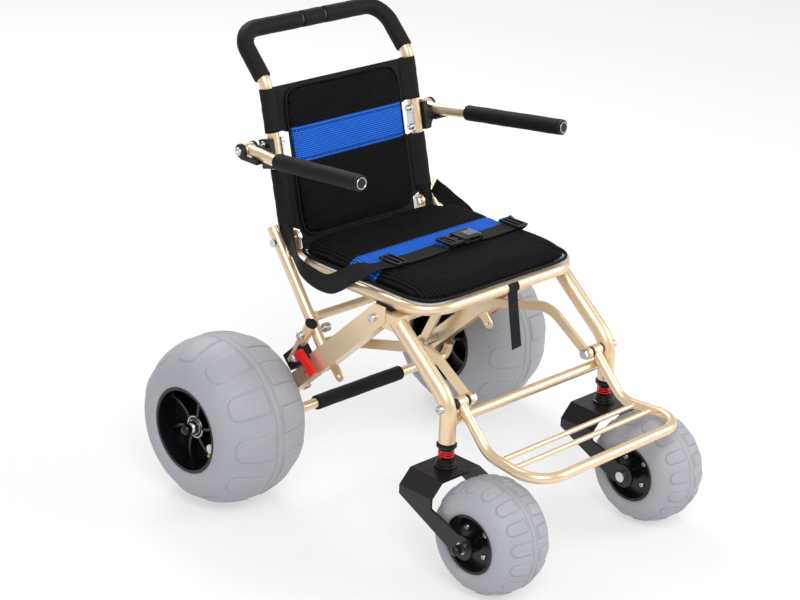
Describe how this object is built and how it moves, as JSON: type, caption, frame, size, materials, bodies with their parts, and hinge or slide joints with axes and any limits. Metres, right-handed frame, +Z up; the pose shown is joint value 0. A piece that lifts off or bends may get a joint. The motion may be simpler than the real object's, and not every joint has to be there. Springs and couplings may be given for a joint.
{
  "type": "beach wheelchair",
  "caption": "Beach wheelchair with grey balloon tyres, sprung front casters, champagne tube frame, folding padded back, flip-up arms, footrest and lap belt.",
  "frame": {"origin": "on the floor under the middle of the object's box", "axes": "+Z up, front towards -Y, the sitter's left towards +X"},
  "size_m": [0.902, 0.8801, 0.8851],
  "materials": {
    "frame": "champagne metallic, satin",
    "foam": "matte closed-cell foam",
    "black_plastic": "satin",
    "black_metal": "powder coat",
    "red_paint": "gloss",
    "steel": "zinc plated",
    "sling": "coated cloth",
    "upholstery": "spacer mesh with a blue band",
    "webbing": "woven",
    "tyre": "matte moulded"
  },
  "bodies": {
    "chassis": {"front_frame": "frame", "side_beam_right": "frame", "side_beam_left": "frame", "rear_axle": "steel", "lower_bar": "frame", "lower_bar_foam": "foam", "stub_tubes": "frame", "stub_caps": "black_plastic", "latch_brackets": "black_plastic", "stop_bolts": "steel", "brace_right": "frame", "brace_left": "frame", "brace_spacers": "steel", "leg_bolts": "steel", "leg_bushes": "black_plastic", "beam_bolts": "steel", "rear_posts": "frame", "seat_frame": "frame", "rest_pads": "black_plastic", "seat_sling": "sling", "seat_pad": "upholstery", "fold_strap": "webbing", "lap_belt": "webbing", "belt_buckles": "black_plastic", "hinge_bolts": "steel", "caster_collars": "black_plastic", "spring_right": "red_paint", "spring_left": "red_paint"},
    "back": {"back_frame": "frame", "handle_foam": "foam", "back_sling": "upholstery", "back_pad": "upholstery", "arm_bracket_right": "black_plastic", "arm_bracket_left": "black_plastic", "clamp_plates": "steel", "clamp_bolts": "steel", "arm_pivot_bolts": "steel"},
    "footrest": {"footrest": "frame"},
    "arm_right": {"arm_tube_right": "frame", "arm_foam_right": "foam", "arm_plug_right": "black_plastic"},
    "latch_right": {"latch_right": "red_paint"},
    "stem_right": {"stem_right": "black_metal"},
    "fork_right": {"fork_right": "black_metal", "caster_axle_right": "steel"},
    "caster_wheel_right": {"caster_hub_right": "black_plastic", "caster_tyre_right": "tyre"},
    "rear_wheel_right": {"rear_hub_right": "black_plastic", "rear_tyre_right": "tyre"},
    "arm_left": {"arm_tube_left": "frame", "arm_foam_left": "foam", "arm_plug_left": "black_plastic"},
    "latch_left": {"latch_left": "red_paint"},
    "stem_left": {"stem_left": "black_metal"},
    "fork_left": {"fork_left": "black_metal", "caster_axle_left": "steel"},
    "caster_wheel_left": {"caster_hub_left": "black_plastic", "caster_tyre_left": "tyre"},
    "rear_wheel_left": {"rear_hub_left": "black_plastic", "rear_tyre_left": "tyre"}
  },
  "joints": [
    {"name": "back_fold", "type": "hinge", "parent": "chassis", "child": "back", "pos_m": [0, 0.26599, 0.493], "axis": [1, 0, 0], "range_deg": [0, 70]},
    {"name": "footrest_flip", "type": "hinge", "parent": "chassis", "child": "footrest", "pos_m": [0, -0.20479, 0.31619], "axis": [1, 0, 0], "range_deg": [-75, 0]},
    {"name": "arm_flip_right", "type": "hinge", "parent": "back", "child": "arm_right", "pos_m": [-0.24, 0.33099, 0.667], "axis": [1, 0, 0], "range_deg": [-95, 0]},
    {"name": "latch_turn_right", "type": "hinge", "parent": "chassis", "child": "latch_right", "pos_m": [-0.252, 0.16444, 0.29659], "axis": [1, 0, 0], "range_deg": [-72, 0]},
    {"name": "caster_suspension_right", "type": "slide", "parent": "chassis", "child": "stem_right", "axis": [0, 0, 1], "range_m": [0, 0.008], "stiffness_N_per_m": 15000, "springref_m": -0.006, "deforming": ["spring_right"]},
    {"name": "caster_swivel_right", "type": "hinge", "parent": "stem_right", "child": "fork_right", "pos_m": [-0.222, -0.20901, 0.19], "axis": [0, 0, 1], "continuous": true},
    {"name": "caster_spin_right", "type": "hinge", "parent": "fork_right", "child": "caster_wheel_right", "pos_m": [-0.222, -0.33101, 0.109], "axis": [1, 0, 0], "continuous": true},
    {"name": "rear_spin_right", "type": "hinge", "parent": "chassis", "child": "rear_wheel_right", "pos_m": [-0.346, 0.26299, 0.165], "axis": [1, 0, 0], "continuous": true},
    {"name": "arm_flip_left", "type": "hinge", "parent": "back", "child": "arm_left", "pos_m": [0.24, 0.33099, 0.667], "axis": [1, 0, 0], "range_deg": [-95, 0]},
    {"name": "latch_turn_left", "type": "hinge", "parent": "chassis", "child": "latch_left", "pos_m": [0.252, 0.16444, 0.29659], "axis": [1, 0, 0], "range_deg": [-72, 0]},
    {"name": "caster_suspension_left", "type": "slide", "parent": "chassis", "child": "stem_left", "axis": [0, 0, 1], "range_m": [0, 0.008], "stiffness_N_per_m": 15000, "springref_m": -0.006, "deforming": ["spring_left"]},
    {"name": "caster_swivel_left", "type": "hinge", "parent": "stem_left", "child": "fork_left", "pos_m": [0.222, -0.20901, 0.19], "axis": [0, 0, 1], "continuous": true},
    {"name": "caster_spin_left", "type": "hinge", "parent": "fork_left", "child": "caster_wheel_left", "pos_m": [0.222, -0.33101, 0.109], "axis": [1, 0, 0], "continuous": true},
    {"name": "rear_spin_left", "type": "hinge", "parent": "chassis", "child": "rear_wheel_left", "pos_m": [0.346, 0.26299, 0.165], "axis": [1, 0, 0], "continuous": true}
  ]
}
